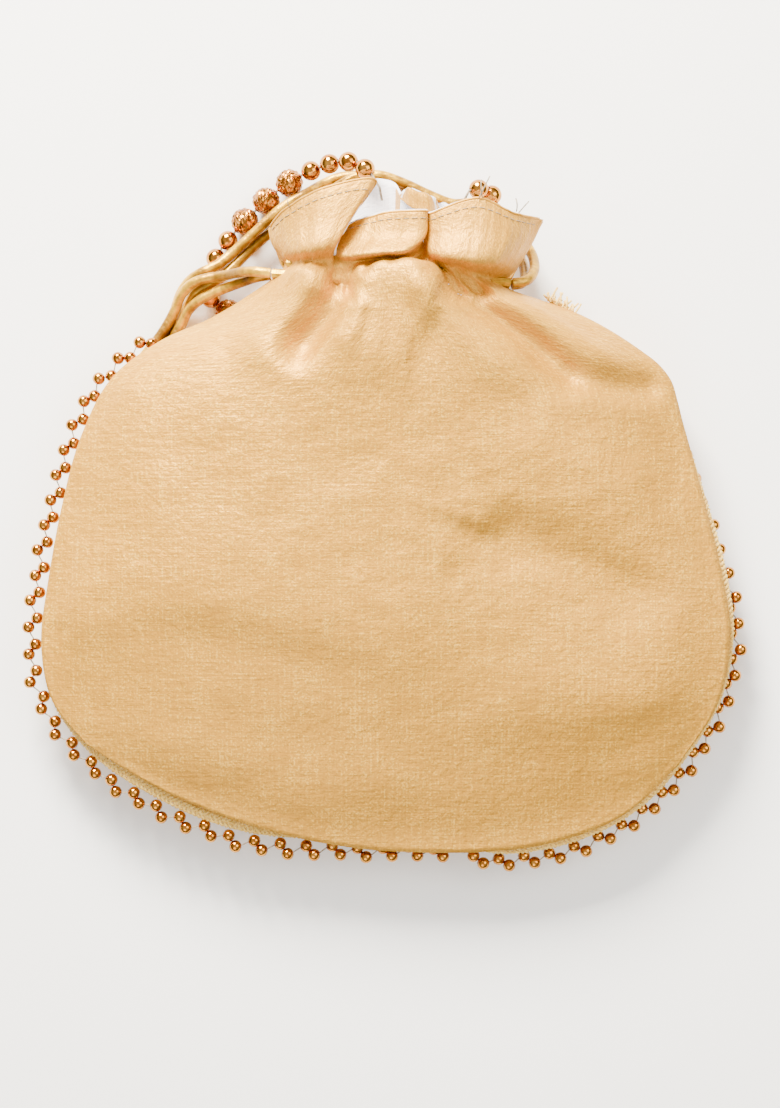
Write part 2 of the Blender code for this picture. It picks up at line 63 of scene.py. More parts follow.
# ---- drawstrings -----------------------------------------------------------------------------
# Two 3.3 mm satin rat-tail cords. Each runs round the neck in the casing, and both its ends
# leave at one side. The free ends are limp, lie over each other and end in one overhand knot.
CORD = 3.3
LEFT_CORD_UPPER = [(-36, 80, 26.2), (-40, 80.5, 26), (-44.5, 80.8, 22.8), (-49, 80.4, 17.8),
                   (-53.3, 80, 14.4), (-57.6, 79.4, 13.4), (-61.8, 77.8, 12.2), (-65.2, 74.6, 9.4),
                   (-67.6, 69.8, 6.3), (-70.2, 65, 5.8), (-73, 60.8, 5.7), (-76.4, 56.6, 5.3),
                   (-80, 52, 4), (-83.4, 47, 2.4), (-86.4, 40.6, 2), (-89.2, 31.8, 2), (-91.7, 22.6, 2),
                   (-94, 10.4, 2), (-96.4, -5.8, 2), (-97.8, -22, 2), (-98.1, -38.4, 2),
                   (-96.4, -48.2, 2.3)]
LEFT_CORD_LOWER = [(-36, 79.8, 21.8), (-40, 79.3, 21.2), (-44.5, 78.2, 17.6), (-50, 76.6, 14),
                   (-55.5, 74.6, 12), (-60, 72.2, 10.8), (-63, 69.6, 8.4), (-65.2, 65.8, 6.4),
                   (-67.6, 61.6, 5.8), (-69.6, 58, 5.8), (-72.6, 53.8, 5.8), (-76.4, 49.6, 5.6),
                   (-79.9, 44.8, 3.4), (-82.6, 38.6, 2), (-85.4, 30.6, 2), (-87.9, 21.6, 2),
                   (-90.2, 9.8, 2), (-92.5, -6, 2), (-93.9, -22, 2), (-94.2, -38, 2), (-92.9, -47.8, 2.3)]
RIGHT_CORD_UPPER = [(41, 76.8, 26.2), (45.2, 77.6, 25.4), (48, 81, 20.5), (48, 86.5, 13.5),
                    (45, 92.5, 8.4), (40.4, 99.4, 3.4), (33.4, 103.6, 2.4), (28.6, 104.8, 4.2),
                    (22.6, 104.4, 5.7), (14.5, 107.4, 5.7), (7, 110.9, 5.7), (-1, 113.6, 5.7),
                    (-8, 113.3, 5.9), (-14, 110.4, 6.2), (-20.8, 105.6, 6.4), (-29.6, 100.6, 6.4),
                    (-36.4, 95.2, 6.4), (-43, 89.4, 6.6), (-48.6, 83.8, 7.2), (-52.4, 80.2, 8.4),
                    (-56.6, 78, 9.4), (-60.6, 75.6, 8.4), (-63.2, 71.8, 5), (-65, 67, 2.2),
                    (-67.2, 62, 2), (-69.4, 57, 2), (-71, 51.4, 2.1)]
RIGHT_CORD_LOWER = [(41, 76.6, 21.8), (44.4, 77.4, 20.6), (45.4, 81, 14.5), (44.4, 86.2, 8),
                    (41, 92, 3.4), (36.2, 96.8, 2), (30, 99.9, 2), (22.5, 103.4, 2), (14.5, 107.1, 2),
                    (7, 110.6, 2), (-1, 113.5, 2), (-8, 114, 2), (-14.4, 113.4, 2), (-20, 110.9, 3.2),
                    (-25.2, 107.2, 8.8), (-32, 103.2, 9.6), (-38.5, 97.6, 9.2), (-45.2, 91.4, 8.6),
                    (-50.4, 86.8, 8.4), (-54.2, 83.9, 9.2), (-58.6, 81.9, 9.3), (-62.8, 79.4, 6.4),
                    (-66, 75.4, 3), (-67.8, 70.4, 2.1), (-69.6, 65.6, 2), (-72, 60.6, 2), (-74, 55, 2),
                    (-74.8, 51, 2.1)]
LEFT_KNOT, RIGHT_KNOT = (-94.2, -53.4, 3.7), (-73, 45.6, 3.7)


def srgb(code, alpha=1.0):
    """A six-figure sRGB colour as linear values."""
    parts = [int(code[i:i + 2], 16) / 255 for i in (1, 3, 5)]
    return tuple(c / 12.92 if c <= 0.04045 else ((c + 0.055) / 1.055) ** 2.4 for c in parts) + (alpha,)


def add_node(tree, kind, settings=None, **inputs):
    """A node with its settings, values and links. A link is given as the socket it comes from."""
    made = tree.nodes.new(kind)
    for name, value in (settings or {}).items():
        setattr(made, name, value)
    for name, value in inputs.items():
        socket = made.inputs[int(name[1:])] if name[0] == "_" else made.inputs[name.replace("_", " ")]
        if isinstance(value, bpy.types.NodeSocket):
            tree.links.new(value, socket)
        else:
            socket.default_value = value
    return made


def new_material(name, roughness, metallic=0.0):
    """An empty Principled material and its tree."""
    made = bpy.data.materials.new(name)
    made.use_nodes = True
    shader = made.node_tree.nodes["Principled BSDF"]
    shader.inputs["Roughness"].default_value = roughness
    shader.inputs["Metallic"].default_value = metallic
    return made, made.node_tree, shader


def colour_steps(tree, factor, *steps):
    """A colour ramp on a factor."""
    ramp = add_node(tree, "ShaderNodeValToRGB", _0=factor)
    while len(ramp.color_ramp.elements) < len(steps):
        ramp.color_ramp.elements.new(0.5)
    for element, (at, code) in zip(ramp.color_ramp.elements, steps):
        element.position = at
        element.color = srgb(code)
    return ramp.outputs["Color"]


def smooth_line(points, step=None, count=None):
    """Evenly spaced points on a centripetal Catmull-Rom curve through the given ones."""
    pts = np.array([tuple(p) + (0.0,) * (3 - len(p)) for p in points], float)
    pts = np.vstack((2 * pts[0] - pts[1], pts, 2 * pts[-1] - pts[-2]))
    dense = []
    for a, b, c, d in zip(pts, pts[1:], pts[2:], pts[3:]):
        t1 = np.linalg.norm(b - a) ** 0.5
        t2 = t1 + np.linalg.norm(c - b) ** 0.5
        t3 = t2 + np.linalg.norm(d - c) ** 0.5
        t = np.linspace(t1, t2, 13)[:-1, None]
        ab = a + (b - a) * t / t1
        bc = b + (c - b) * (t - t1) / (t2 - t1)
        cd = c + (d - c) * (t - t2) / (t3 - t2)
        abc = ab + (bc - ab) * t / t2
        bcd = bc + (cd - bc) * (t - t1) / (t3 - t1)
        dense.append(abc + (bcd - abc) * (t - t1) / (t2 - t1))
    dense = np.vstack(dense + [pts[-2:-1]])
    at = np.concatenate(([0], np.cumsum(np.linalg.norm(np.diff(dense, axis=0), axis=1))))
    count = count or max(int(at[-1] / step), 2) + 1
    want = np.linspace(0, at[-1], count)
    return np.column_stack([np.interp(want, at, dense[:, k]) for k in range(3)])


def line_length(points):
    """The length along a line of points."""
    return float(np.linalg.norm(np.diff(points, axis=0), axis=1).sum())


def tube_mesh(lines, radius, sides, closed=False, name="tube"):
    """One mesh of round tubes along several lines, in metres."""
    verts, faces = [], []
    for line in lines:
        line = np.asarray(line)
        n = len(line)
        if closed:
            tangent = np.roll(line, -1, 0) - np.roll(line, 1, 0)
        else:
            tangent = np.gradient(line, axis=0)
        tangent /= np.linalg.norm(tangent, axis=1)[:, None]
        side = np.cross(tangent[0], (0.3, 0.2, 1.0))
        base = len(verts)
        for i in range(n):
            side = side - tangent[i] * side.dot(tangent[i])
            side /= np.linalg.norm(side)
            up = np.cross(tangent[i], side)
            for k in range(sides):
                angle = 2 * math.pi * k / sides
                verts.append(line[i] + radius * (side * math.cos(angle) + up * math.sin(angle)))
        for i in range(n if closed else n - 1):
            a, b = base + i * sides, base + (i + 1) % n * sides
            for k in range(sides):
                m = (k + 1) % sides
                faces.append((a + k, a + m, b + m, b + k))
        if not closed:
            faces.append(tuple(base + k for k in reversed(range(sides))))
            faces.append(tuple(base + (n - 1) * sides + k for k in range(sides)))
    mesh = bpy.data.meshes.new(name)
    mesh.from_pydata([tuple(v) for v in verts], [], faces)
    mesh.shade_smooth()
    return mesh


def add_piece(name, data, material, slot, *nodes):
    """A finished piece: linked, given its finish, riding on the pouch and standing for its nodes."""
    piece = bpy.data.objects.new(name, data)
    bpy.context.scene.collection.objects.link(piece)
    data.materials.append(material)
    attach(piece, "root")
    if nodes:
        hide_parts(*nodes)
    return piece


# satin: painted sheen and shade, bright where the floats catch the light and dark between, from creases about
# 2.4 mm apart and 11 mm patches
satin, tree, shader = new_material("woven_satin", 0.36, 0.6)
place = add_node(tree, "ShaderNodeTexCoord").outputs["Object"]
crease = add_node(tree, "ShaderNodeTexNoise", Vector=place, Scale=420.0, Detail=3.0, Roughness=0.6)
patch = add_node(tree, "ShaderNodeTexNoise", Vector=place, Scale=90.0, Detail=2.0)
shade = add_node(tree, "ShaderNodeMath", {"operation": "MULTIPLY_ADD"},
                 _0=crease.outputs["Fac"], _1=0.5, _2=patch.outputs["Fac"])
# the ramp paints sheen and shade: dark brown in the creases, bright gold where the floats would catch the
# light
colour = colour_steps(tree, shade.outputs[0], (0.5, "#6A4602"), (0.72, "#9C7006"), (0.95, "#E4B21E"))
tree.links.new(colour, shader.inputs["Base Color"])
bump = add_node(tree, "ShaderNodeBump", Height=crease.outputs["Fac"], Strength=0.5, Distance=0.0007)
tree.links.new(bump.outputs[0], shader.inputs["Normal"])

KNOT_STRETCH, KNOT_SQUEEZE = (0.62, 0.86, 0.9), 0.78      # half sizes of the knot, and its cord's pinch
for name, centre in (("left", LEFT_KNOT), ("right", RIGHT_KNOT)):
    # an overhand knot drawn tight: a trefoil of the same cord
    t = np.linspace(0, 2 * math.pi, 72, endpoint=False)
    loop = np.column_stack((np.sin(t) + 2 * np.sin(2 * t), np.cos(t) - 2 * np.cos(2 * t), -np.sin(3 * t)))
    loop *= KNOT_STRETCH
    knot_mesh = tube_mesh([metres(loop + centre)], CORD * 0.5 * KNOT_SQUEEZE * 0.001, 10, closed=True,
                          name=f"knot_{name}")
    add_piece(f"drawstring_{name}_knot_tied", knot_mesh, satin, "satin_cord", f"drawstring_{name}_knot")

TAILS = [("left_upper", LEFT_CORD_UPPER, "left"), ("left_lower", LEFT_CORD_LOWER, "left"),
         ("right_upper", RIGHT_CORD_UPPER, "right"), ("right_lower", RIGHT_CORD_LOWER, "right")]
for name, route, knot in TAILS:
    line = metres(smooth_line(route, step=1.5))
    data = bpy.data.curves.new(f"drawstring_{name}", "CURVE")
    data.dimensions = "3D"
    data.bevel_depth = CORD / 2 * 0.001
    data.bevel_resolution = 5
    data.use_fill_caps = True
    data.render_resolution_u = 0
    spline = data.splines.new("POLY")
    spline.points.add(len(line) - 1)
    for target, p in zip(spline.points, line):
        target.co = (*p, 1)
    spline.use_smooth = True
    piece = add_piece(f"drawstring_{name}", data, satin, "satin_cord", f"drawstring_{name}_tail")
for side in ("left", "right"):
    ring = bpy.data.objects[f"drawstring_{side}_in_casing"]
    ring.data.materials.clear()
    ring.data.materials.append(satin)

# ---- handle ----------------------------------------------------------------------------------
# Metallised plastic beads on a nylon thread: small smooth gold ones in fours between threes of
# larger crinkled rose-gold ones. Both ends of the thread are stitched inside the mouth.
SMALL_BEAD, LARGE_BEAD, THREAD, BEAD_BORE = 6.4, 9.0, 0.8, 1.5
HANDLE_LEAD, BEAD_GAP = 9.4, 0.55
HANDLE_ROUTE = [(-0.5, 104.5, 15), (-1.2, 108.2, 17.6), (-4, 112.6, 18), (-9.1, 117.1, 14.6),
                (-15.2, 117.4, 11.6), (-21, 115.8, 8.6), (-28.6, 112.6, 5.6), (-36.6, 107, 4.8),
                (-43.9, 99.8, 4.8), (-50, 93.4, 4), (-54.6, 87, 3.6), (-57.2, 80.5, 3.6),
                (-57, 74.4, 4.8), (-52.4, 69, 4.8), (-43, 67.4, 4.8), (-30, 69.4, 4.7), (-16, 72.6, 4.7),
                (-2, 75.8, 4.7), (12, 79.6, 4.6), (22.5, 84, 4.6), (29.4, 90.2, 5.6), (34, 96.8, 7.6),
                (36, 102.6, 10.4), (35.2, 107, 15), (31, 108.4, 19), (26.2, 106, 20.4), (24.4, 101.5, 18)]
HANDLE_GROUPS = ["small"] * 4 + (["large"] * 3 + ["small"] * 4) * 3 + ["small"]


def metallised(name, dark, light, roughness):
    """Vacuum-metallised plastic: a hazy mirror with 2 mm clouds of colour and 1.1 mm unevenness."""
    made, tree, shader = new_material(name, roughness, 1.0)
    place = add_node(tree, "ShaderNodeTexCoord").outputs["Object"]
    cloud = add_node(tree, "ShaderNodeTexNoise", Vector=place, Scale=500.0, Detail=2.0)
    colour = colour_steps(tree, cloud.outputs["Fac"], (0.3, dark), (0.7, light))
    tree.links.new(colour, shader.inputs["Base Color"])
    fine = add_node(tree, "ShaderNodeTexNoise", Vector=place, Scale=900.0, Detail=3.0)
    bump = add_node(tree, "ShaderNodeBump", Height=fine.outputs["Fac"], Strength=0.12, Distance=0.0004)
    tree.links.new(bump.outputs[0], shader.inputs["Normal"])
    return made


gold = metallised("gold_plated_plastic", "#A05E1C", "#D0923C", 0.13)
rose = metallised("rose_gold_plated_plastic", "#84480F", "#C48636", 0.2)


def bead_form(diameter, bore, segments, rings, crinkle):
    """A turned bead with a thread hole along Z. crinkle folds its skin into sharp facets."""
    bpy.ops.object.select_all(action="DESELECT")
    bpy.ops.mesh.primitive_uv_sphere_add(segments=segments, ring_count=rings, radius=diameter / 2 * 0.001)
    ball = bpy.context.object
    form = bmesh.new()
    form.from_mesh(ball.data)
    poles = [v for v in form.verts if abs(abs(v.co.z) - diameter / 2 * 0.001) < 1e-6]
    bmesh.ops.delete(form, geom=poles, context="VERTS")
    open_edges = [e for e in form.edges if e.is_boundary]
    for v in {v for e in open_edges for v in e.verts}:
        scale = bore / 2 * 0.001 / v.co.xy.length
        v.co.x *= scale
        v.co.y *= scale
    bmesh.ops.bridge_loops(form, edges=open_edges)
    if crinkle:
        for v in form.verts:
            if v.co.xy.length > bore * 0.00055:
                at = v.co * 1000 / diameter * 5.5
                distances = noise.voronoi(at)[0]
                ridge = min(distances[1] - distances[0], 0.5)
                v.co *= 0.93 + crinkle * ridge + 0.03 * noise.noise(at * 2.3)
    bmesh.ops.recalc_face_normals(form, faces=form.faces)
    form.to_mesh(ball.data)
    form.free()
    mesh = ball.data
    bpy.data.objects.remove(ball)
    return mesh


def join_copies(name, mesh, places, turn_each=0.0, faceted=False):
    """One mesh of copies of a form, each at its centre with its Z turned to its axis."""
    points = np.array([v.co[:] for v in mesh.vertices])
    polygons = [tuple(p.vertices) for p in mesh.polygons]
    verts, faces = [], []
    for i, (centre, axis) in enumerate(places):
        turn = np.array(Vector(axis).to_track_quat("Z", "Y").to_matrix())
        angle = turn_each * i
        cosine, sine = math.cos(angle), math.sin(angle)
        spin = np.array(((cosine, -sine, 0), (sine, cosine, 0), (0, 0, 1)))
        base = len(verts)
        verts += [tuple(p) for p in points @ spin.T @ turn.T + np.asarray(centre)]
        faces += [tuple(base + k for k in f) for f in polygons]
    joined = bpy.data.meshes.new(name)
    joined.from_pydata(verts, [], faces)
    if not faceted:
        joined.shade_smooth()
    return joined


THREAD_STEP = 0.05
handle_line = smooth_line(HANDLE_ROUTE, step=THREAD_STEP)
strung = {"small": [], "large": []}
index = int(HANDLE_LEAD / THREAD_STEP)
thread = [handle_line[0], handle_line[index // 2], handle_line[index]]
for kind in HANDLE_GROUPS:
    size = SMALL_BEAD if kind == "small" else LARGE_BEAD
    start = thread[-1]
    while index < len(handle_line) - 1 and np.linalg.norm(handle_line[index] - start) < size + BEAD_GAP:
        index += 1
    end = handle_line[index]
    strung[kind].append((metres((start + end) / 2), end - start))
    thread.append(end)
thread.append(handle_line[-1])

small_form = bead_form(SMALL_BEAD, BEAD_BORE, 32, 20, 0)
large_form = bead_form(LARGE_BEAD, BEAD_BORE, 40, 26, 0.16)
smooth_mesh = join_copies("smooth_beads", small_form, strung["small"], 0.7)
smooth_nodes = [f"handle_bead_small_{i + 1:02d}" for i in range(len(strung["small"]))]
smooth_beads = add_piece("handle_beads_smooth", smooth_mesh, gold, "gold_bead", *smooth_nodes)
crinkled_mesh = join_copies("crinkled_beads", large_form, strung["large"], 1.3, True)
crinkled_nodes = [f"handle_bead_large_{i + 1:02d}" for i in range(len(strung["large"]))]
crinkled_beads = add_piece("handle_beads_crinkled", crinkled_mesh, rose, "rose_bead", *crinkled_nodes)

# nylon: a dull twisted thread, with painted shade for the twist's valleys every 0.7 mm
nylon, tree, shader = new_material("twisted_nylon", 0.55)
place = add_node(tree, "ShaderNodeTexCoord").outputs["Object"]
twist = add_node(tree, "ShaderNodeTexNoise", Vector=place, Scale=1500.0, Detail=1.0)
tree.links.new(colour_steps(tree, twist.outputs["Fac"], (0.3, "#6B5A45"), (0.7, "#A8977C")),
               shader.inputs["Base Color"])
thread_line = metres(np.array(thread))
fine_thread = [a + (b - a) * f for a, b in zip(thread_line, thread_line[1:]) for f in (0, 0.25, 0.5, 0.75)]
fine_thread = np.array(fine_thread + [thread_line[-1]])
thread_piece = add_piece("handle_thread_twisted",
                         tube_mesh([fine_thread], THREAD / 2 * 0.001, 8, name="handle_thread_twisted"),
                         nylon, "thread", "handle_thread")

# ---- silk panels -----------------------------------------------------------------------------
# Two panels of gold dupion, a crisp silk with a slubbed weft. Sewn round the U with a 10 mm
# allowance pressed inside, drawn into pleats by the cords at the neck, and loose in the collar.
SEAM_Z, NECK_Z = 18.0, 24.0
SILK, LINING = 0.45, 0.35
SEAM_HALF = 0.45            # how far each panel stands from the seam's level at its edge
CUT_WIDTH = 230             # across a panel's cloth when it is laid flat
LEFT_EDGE = [(-34, 78), (-43, 73), (-55, 66), (-71, 59), (-87, 47), (-97, 28), (-102.5, 8),
             (-107, -16), (-109.5, -38), (-106, -56), (-95, -70)]
BOTTOM_EDGE = [(-95, -70), (-74, -83), (-50, -93.5), (-17, -102), (9, -104.5), (42, -103.5),
               (66, -98), (82, -89), (94, -77)]
RIGHT_EDGE = [(94, -77), (107, -57), (111, -35), (108, -14), (101, 14), (95.5, 34), (91, 48),
              (79, 58), (63, 67), (49, 72), (39, 74.5)]
BACK_RISE = [(0, 0.8), (0.04, 2.4), (0.1, 6.6), (0.2, 13), (0.38, 20), (0.58, 23.5), (0.75, 23), (0.88, 20),
             (0.95, 19), (1, 17)]
FRONT_DROP = [(0, 0.8), (0.04, 2.4), (0.1, 7.4), (0.2, 17), (0.38, 27), (0.58, 30), (0.75, 27), (0.88, 18),
              (0.95, 13), (1, 11)]
BODY_TOP = 0.93             # where the gathers begin, as a share of the height to the neck
CLOTH_TOP = 1.35            # the rim, on the same scale
NECK_SHARE = 1.09           # where the cords cross, on the same scale
# the pleats of the back panel: eleven lines run up it, at these shares of its width
PLEATS = [0, 0.07, 0.16, 0.27, 0.34, 0.40, 0.48, 0.56, 0.60, 0.66, 0.76, 0.88, 1]
BELOW_NECK = [(-35, 78.6, 24.8), (-30.5, 79.2, 33), (-25.5, 79.2, 38), (-18.4, 77.6, 40.5),
              (-14.4, 75.4, 37.4), (-9.5, 77.4, 38.8), (-1, 80.8, 43), (9, 81.8, 44.2),
              (16.4, 80.4, 42.6), (22.4, 77, 38.8), (28, 74.6, 37), (35, 74.2, 34), (41, 74.8, 24.8)]
AT_NECK = [(-31.6, 82.4, 24.8), (-27.5, 83, 31.8), (-22.5, 83.2, 35.8), (-17.4, 82.8, 35.8), (-15.2, 82, 35),
           (-11, 82.4, 35.4), (-3, 83.4, 36), (6, 84, 36.2), (12, 83.4, 35.4), (16.5, 82.4, 35.8),
           (24, 80.6, 35.6), (31.5, 78.8, 32.4), (38.5, 77, 24.8)]
LOW_COLLAR = [(-33, 85.2, 24.8), (-28.8, 85.8, 34.6), (-22, 86.4, 41), (-14.8, 87.4, 39.4), (-16, 87, 31.5),
              (-12.6, 84.6, 37.6), (-3, 84.6, 43.4), (7.8, 85.4, 43.4), (12.4, 87.2, 33), (15.4, 84.8, 40.4),
              (26, 82.6, 43.6), (36, 81.6, 39), (42.6, 81.8, 24.8)]
MID_COLLAR = [(-35.6, 89.6, 24.6), (-30, 92, 33), (-21, 95, 38.6), (-9.6, 97, 38), (-16, 90.4, 30.5),
              (-10.6, 89.8, 34.6), (0.4, 90.6, 39.4), (12.8, 91, 39.4), (12.4, 91.6, 33), (15.4, 91, 37.6),
              (28, 92.6, 41), (40.4, 90.6, 37), (47.6, 90, 24.6)]
NEAR_RIM = [(-36.7, 94.2, 24.4), (-30.6, 99.8, 32), (-18.4, 105.8, 37), (-2.4, 108.2, 36.4),
            (-12.8, 94.8, 29), (-7.4, 95.8, 33), (1.6, 98, 38), (13.2, 98.4, 38.4), (12.6, 98.2, 32.6),
            (15.4, 98, 36.4), (29.4, 102.4, 40), (40.6, 98.2, 36), (50.9, 97.2, 24.4)]
FAR_RIM = [(-36.7, 94.6), (-28, 101), (-17.5, 107), (-7, 110.4), (0, 111.2), (11, 106.4), (26, 101),
           (40, 98), (50.9, 96.6)]


def table_value(table, x):
    """Smooth reading of (x, value) pairs."""
    xs, ys = np.array(table).T
    slopes = np.gradient(ys, xs)
    x = np.clip(x, xs[0], xs[-1])
    k = np.clip(np.searchsorted(xs, x) - 1, 0, len(xs) - 2)
    w = xs[k + 1] - xs[k]
    f = (x - xs[k]) / w
    return (ys[k] * (1 + 2 * f) * (1 - f) ** 2 + slopes[k] * w * f * (1 - f) ** 2
            + ys[k + 1] * f * f * (3 - 2 * f) - slopes[k + 1] * w * f * f * (1 - f))


def ease(x):
    """A soft step from 0 to 1."""
    x = np.clip(x, 0, 1)
    return x * x * (3 - 2 * x)


EDGES = [smooth_line([(x, y, 0) for x, y in points], count=400)
         for points in (LEFT_EDGE[::-1], BOTTOM_EDGE, RIGHT_EDGE)]


def on_edge(which, fraction):
    """Points at shares of the way along an edge: 0 is the left one, 1 the bottom, 2 the right."""
    line = EDGES[which]
    at = np.clip(fraction, 0, 1) * (len(line) - 1)
    low = np.minimum(at.astype(int), len(line) - 2)
    part = (at - low)[..., None]
    return line[low] * (1 - part) + line[low + 1] * part


def seam_height(v):
    """The side seam's height, which rises to the neck."""
    return SEAM_Z + (NECK_Z - SEAM_Z) * ease((v - 0.55) / 0.45)


def body_points(a, v, side):
    """Points on a panel's body: a runs from its left seam to its right, v from bottom to neck."""
    a, v = np.broadcast_arrays(np.asarray(a, float), np.asarray(v, float))
    u = 2 * a - 1
    left, right = on_edge(0, v), on_edge(2, v)
    low = on_edge(1, a)
    top_a, top_b = EDGES[0][-1], EDGES[2][-1]
    top = top_a + (top_b - top_a) * a[..., None]
    low_a, low_b = EDGES[1][0], EDGES[1][-1]
    a3, v3 = a[..., None], v[..., None]
    p = (low * (1 - v3) + top * v3 + left * (1 - a3) + right * a3 - low_a * (1 - v3) * (1 - a3)
         - low_b * (1 - v3) * a3 - top_a * v3 * (1 - a3) - top_b * v3 * a3)
    strip = ease((1 - np.abs(u)) / 0.14)
    body = (1 - np.abs(u) ** 2.6) * (0.4 + 0.6 * strip)
    neck = (1 - np.abs(u) ** 3) ** 0.8
    near = np.clip((v - 0.8) / 0.2, 0, 1)
    section = body * (1 - near) + neck * near
    half = table_value(BACK_RISE if side > 0 else FRONT_DROP, v)
    z = seam_height(v) + side * (SEAM_HALF + np.maximum(half - SEAM_HALF, 0) * section)
    if side < 0:            # the front panel settles on the table with a soft bend
        z = np.where(z < 4, np.where(z < -4, 0, (z + 4) ** 2 / 16), z)
    p = p.copy()
    p[..., 2] = z
    return p


def weave_grid(rows, row_steps, column_steps):
    """A fine grid of points through a net of rows, smooth both ways."""
    net = np.asarray(rows, float)

    def refine(net, steps):
        padded = np.concatenate((2 * net[:1] - net[1:2], net, 2 * net[-1:] - net[-2:-1]))
        out = []
        for i, count in enumerate(steps):
            a, b, c, d = padded[i:i + 4]
            for k in range(count):
                f = k / count
                out.append(0.5 * (2 * b + (c - a) * f + (2 * a - 5 * b + 4 * c - d) * f * f
                                  + (3 * b - a - 3 * c + d) * f ** 3))
        out.append(net[-1])
        return np.array(out)

    net = refine(net, row_steps)
    net = refine(net.transpose(1, 0, 2), column_steps).transpose(1, 0, 2)
    return net


def grid_normals(grid, side):
    """Which way the cloth faces at each point of a grid."""
    du = np.gradient(grid, axis=1)
    dv = np.gradient(grid, axis=0)
    n = np.cross(du, dv) * side
    return n / np.maximum(np.linalg.norm(n, axis=2, keepdims=True), 1e-9)


def cloth_mesh(name, grid, side, thickness, uv):
    """A cloth sheet with its thickness on the inner side and its own cloth coordinates."""
    rows, columns = grid.shape[:2]
    mesh = bpy.data.meshes.new(name)
    points = metres(grid.reshape(-1, 3))
    faces = []
    for r in range(rows - 1):
        for c in range(columns - 1):
            a = r * columns + c
            quad = (a, a + 1, a + columns + 1, a + columns)
            faces.append(quad if side > 0 else quad[::-1])
    mesh.from_pydata([tuple(p) for p in points], [], faces)
    layer = mesh.uv_layers.new(name="cloth")
    flat = uv.reshape(-1, 2) * 0.001
    corners = np.empty(len(mesh.loops), int)
    mesh.loops.foreach_get("vertex_index", corners)
    layer.data.foreach_set("uv", flat[corners].ravel())
    mesh.shade_smooth()
    piece = bpy.data.objects.new(name, mesh)
    bpy.context.scene.collection.objects.link(piece)
    bpy.ops.object.select_all(action="DESELECT")
    bpy.context.view_layer.objects.active = piece
    piece.select_set(True)
    wall = piece.modifiers.new("thickness", "SOLIDIFY")
    wall.thickness = thickness * 0.001
    wall.offset = -1.0
    bpy.ops.object.modifier_apply(modifier=wall.name)
    return piece


def cloth_coordinates(grid, a, v):
    """Millimetres along weft and warp: plain plan positions low down, run of cloth in the gathers."""
    step = np.linalg.norm(np.diff(grid, axis=0), axis=2)
    run = np.vstack((np.zeros((1, grid.shape[1])), np.cumsum(step, axis=0)))
    first = int(np.argmax(v > 0.6))
    up = ease((v - 0.6) / 0.35)[:, None]
    x = grid[..., 0] * (1 - up) + CUT_WIDTH * (a[None, :] - 0.5) * up
    y = np.where(v[:, None] > 0.6, grid[first, :, 1][None, :] + run - run[first][None, :], grid[..., 1])
    return np.dstack((x, y))


def near_line(x, y, points):
    """Distance to a drawn line, the share along it, and which side of it a place is on."""
    best = np.full(x.shape, 1e9)
    along = np.zeros(x.shape)
    side = np.zeros(x.shape)
    pts = smooth_line([(p[0], p[1], 0) for p in points], count=24)[:, :2]
    for i, (p, q) in enumerate(zip(pts, pts[1:])):
        d = q - p
        f = np.clip(((x - p[0]) * d[0] + (y - p[1]) * d[1]) / d.dot(d), 0, 1)
        dx, dy = x - p[0] - f * d[0], y - p[1] - f * d[1]
        away = np.hypot(dx, dy)
        closer = away < best
        best = np.where(closer, away, best)
        along = np.where(closer, (i + f) / (len(pts) - 1), along)
        side = np.where(closer, np.sign(d[0] * dy - d[1] * dx), side)
    return best, along, side


